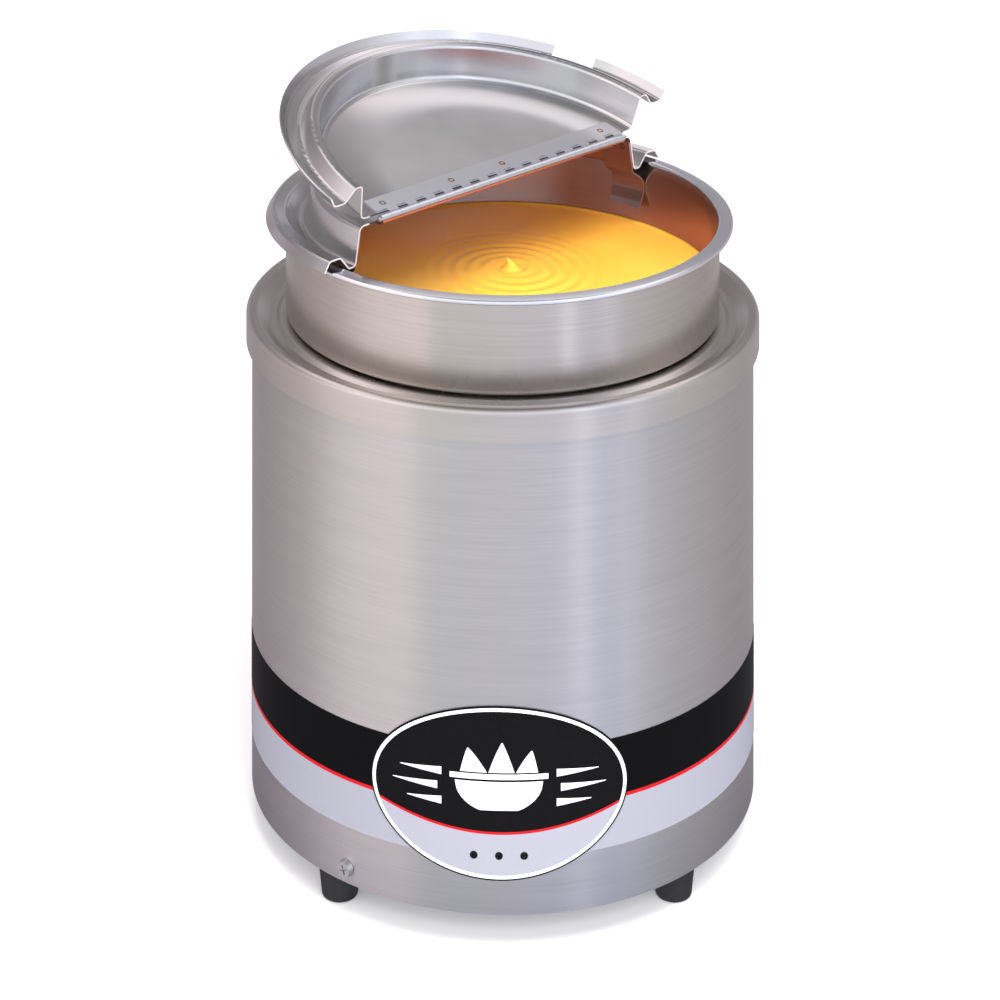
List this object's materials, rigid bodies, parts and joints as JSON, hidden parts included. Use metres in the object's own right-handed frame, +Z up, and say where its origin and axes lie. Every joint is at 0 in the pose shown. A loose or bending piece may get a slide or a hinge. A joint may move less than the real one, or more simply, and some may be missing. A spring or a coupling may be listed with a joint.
{
  "type": "cheese warmer",
  "caption": "Round electric countertop warmer: heated steel drum with a lift-out pot of cheese sauce and a half-hinged lid that flips open.",
  "frame": {"origin": "centre of the drum, on the counter under the feet", "axes": "+Z up along the drum's axis, -Y to the front with the badge, +Y to the back with the controls and the cord"},
  "size_m": [0.266, 0.421, 0.3718],
  "materials": {
    "brushed_drum": "brushed round the drum",
    "ring_steel": "brushed, with a polished edge",
    "plain_steel": "mill finish",
    "pot_steel": "brushed collar, bright rim",
    "lid_steel": "satin polished",
    "hinge_steel": "bright",
    "plated_screw": "zinc plated",
    "ground_green": "green",
    "printed_wrap": "printed film: black, red line, light grey",
    "badge_print": "printed film: black with a white border",
    "foot_rubber": "moulded",
    "cheese": "soft glossy sauce",
    "mineral_wool": "matted fibre",
    "element_sheath": "heat darkened",
    "copper": "bare",
    "control_plastic": "fine texture",
    "dial_print": "satin, printed numbers",
    "lens_amber": "amber",
    "lead_insulation": "high temperature sleeving",
    "cord_rubber": "satin",
    "blade_brass": "plated"
  },
  "bodies": {
    "warmer": {"outer_shell": "brushed_drum", "top_ring": "ring_steel", "well_liner": "plain_steel", "insulation_blanket": "mineral_wool", "base_pan": "plain_steel", "shell_screws": "plated_screw", "rubber_feet": "foot_rubber", "foot_screws": "plated_screw", "foot_nuts": "plated_screw", "graphic_wrap": "printed_wrap", "badge": "badge_print", "heating_element": "element_sheath", "element_clamp_plate": "plain_steel", "insulation_disc": "mineral_wool", "clamp_stud": "plated_screw", "clamp_nut": "plated_screw", "thermostat_body": "control_plastic", "control_bezel": "control_plastic", "dial_plate": "dial_print", "thermostat_nut": "plated_screw", "sensing_bulb": "copper", "capillary_tube": "copper", "indicator_housing": "control_plastic", "indicator_lens": "lens_amber", "terminal_block": "control_plastic", "terminal_screws": "plated_screw", "ground_screw": "ground_green", "ground_lug": "plated_screw", "wiring_leads": "lead_insulation", "power_cord": "cord_rubber", "cord_tie": "cord_rubber", "cord_strain_relief": "cord_rubber", "plug_body": "cord_rubber", "plug_blades": "blade_brass"},
    "knob": {"control_knob": "control_plastic", "thermostat_shaft": "plated_screw"},
    "inset": {"inset_pot": "pot_steel", "cheese_sauce": "cheese"},
    "lid_rear": {"lid_rear_half": "lid_steel", "hinge_leaf_rear": "hinge_steel", "hinge_pin": "hinge_steel", "lid_clips": "plain_steel"},
    "lid_front": {"lid_front_half": "lid_steel", "hinge_leaf_front": "hinge_steel", "lid_handle": "plain_steel"}
  },
  "joints": [
    {"name": "pot_lift", "type": "slide", "parent": "warmer", "child": "inset", "axis": [0, 0, 1], "range_m": [0, 0.24]},
    {"name": "lid_lift", "type": "slide", "parent": "inset", "child": "lid_rear", "axis": [0, 0, 1], "range_m": [0, 0.06]},
    {"name": "lid_hinge", "type": "hinge", "parent": "lid_rear", "child": "lid_front", "pos_m": [0.00138, -0.00145, 0.3242], "axis": [0.7254, 0.6884, 0], "range_deg": [0, 166]},
    {"name": "thermostat_turn", "type": "hinge", "parent": "warmer", "child": "knob", "pos_m": [-0.014, 0.15, 0.046], "axis": [0, 1, 0], "range_deg": [0, 300]}
  ]
}
